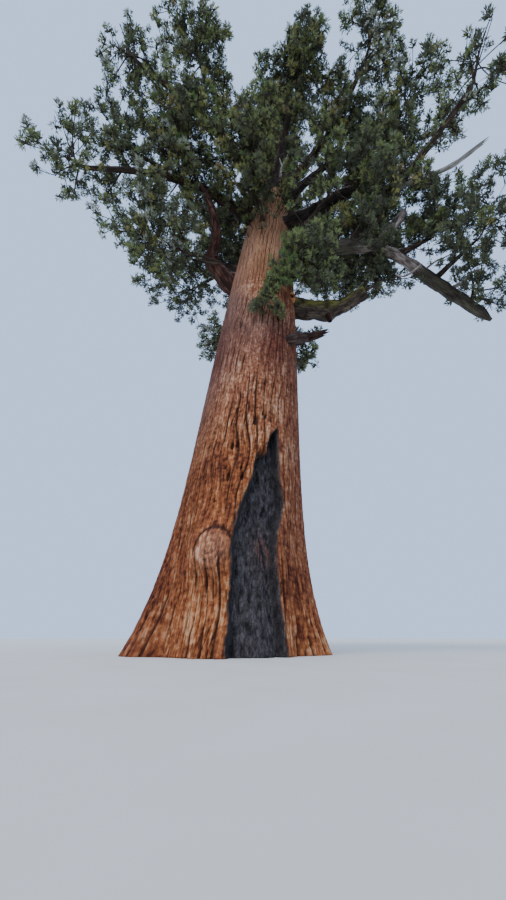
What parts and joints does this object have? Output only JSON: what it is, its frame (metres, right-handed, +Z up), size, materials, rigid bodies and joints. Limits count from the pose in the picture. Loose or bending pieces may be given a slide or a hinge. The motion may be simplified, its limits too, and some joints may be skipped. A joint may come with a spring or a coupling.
{
  "type": "giant sequoia tree",
  "caption": "Old conifer with a huge leaning, tapering trunk on a flared foot with a tall burnt hollow, long crooked boughs, and rounded masses of dense scaly foliage up to its tip.",
  "frame": {"origin": "centre of the flat cut under the trunk, at ground level", "axes": "+Z up; the trunk leans towards +X; the burnt hollow faces -Y"},
  "size_m": [24.5843, 17.2695, 39.999],
  "materials": {
    "bark": "thick fibrous cinnamon bark with deep upright furrows, charred black in the hollow",
    "limb_bark": "grey-brown bark, paler on top",
    "dead_wood": "bare weathered grey wood",
    "foliage": "dull dark green scaly leaves"
  },
  "bodies": {
    "root": {"trunk": "bark", "bough_left_arm": "limb_bark", "bough_left_rise": "limb_bark", "bough_left_bend": "limb_bark", "bough_left_hang": "limb_bark", "bough_left_back": "limb_bark", "bough_left_inner": "limb_bark", "bough_upper_left": "limb_bark", "bough_upper_left_fork": "limb_bark", "bough_top_left": "limb_bark", "bough_centre_rise": "limb_bark", "bough_right_top": "limb_bark", "bough_right_centre": "limb_bark", "bough_right_long": "limb_bark", "bough_right_fork": "limb_bark", "bough_right_tip": "limb_bark", "bough_right_front": "limb_bark", "bough_right_back": "limb_bark", "bough_first_limb": "limb_bark", "bough_arch_limb": "limb_bark", "bough_arch_riser": "limb_bark", "bough_arch_outer": "limb_bark", "bough_arch_edge": "limb_bark", "bough_back_centre": "limb_bark", "bough_back_right": "limb_bark", "dead_spar": "dead_wood", "broken_stub": "dead_wood", "snag": "dead_wood", "foliage_left_arm": "foliage", "foliage_left_rise": "foliage", "foliage_left_bend": "foliage", "foliage_left_hang": "foliage", "foliage_left_back": "foliage", "foliage_left_inner": "foliage", "foliage_upper_left": "foliage", "foliage_upper_left_fork": "foliage", "foliage_top_left": "foliage", "foliage_centre_rise": "foliage", "foliage_right_top": "foliage", "foliage_right_centre": "foliage", "foliage_right_long": "foliage", "foliage_right_fork": "foliage", "foliage_right_tip": "foliage", "foliage_right_front": "foliage", "foliage_right_back": "foliage", "foliage_first_limb": "foliage", "foliage_arch_limb": "foliage", "foliage_arch_riser": "foliage", "foliage_arch_outer": "foliage", "foliage_arch_edge": "foliage", "foliage_back_centre": "foliage", "foliage_back_right": "foliage", "foliage_back_upper": "foliage", "foliage_back_high": "foliage", "foliage_centre_front": "foliage", "foliage_front_right": "foliage", "foliage_low_left": "foliage", "foliage_low_right": "foliage", "foliage_top_front": "foliage", "foliage_top": "foliage"}
  },
  "joints": []
}
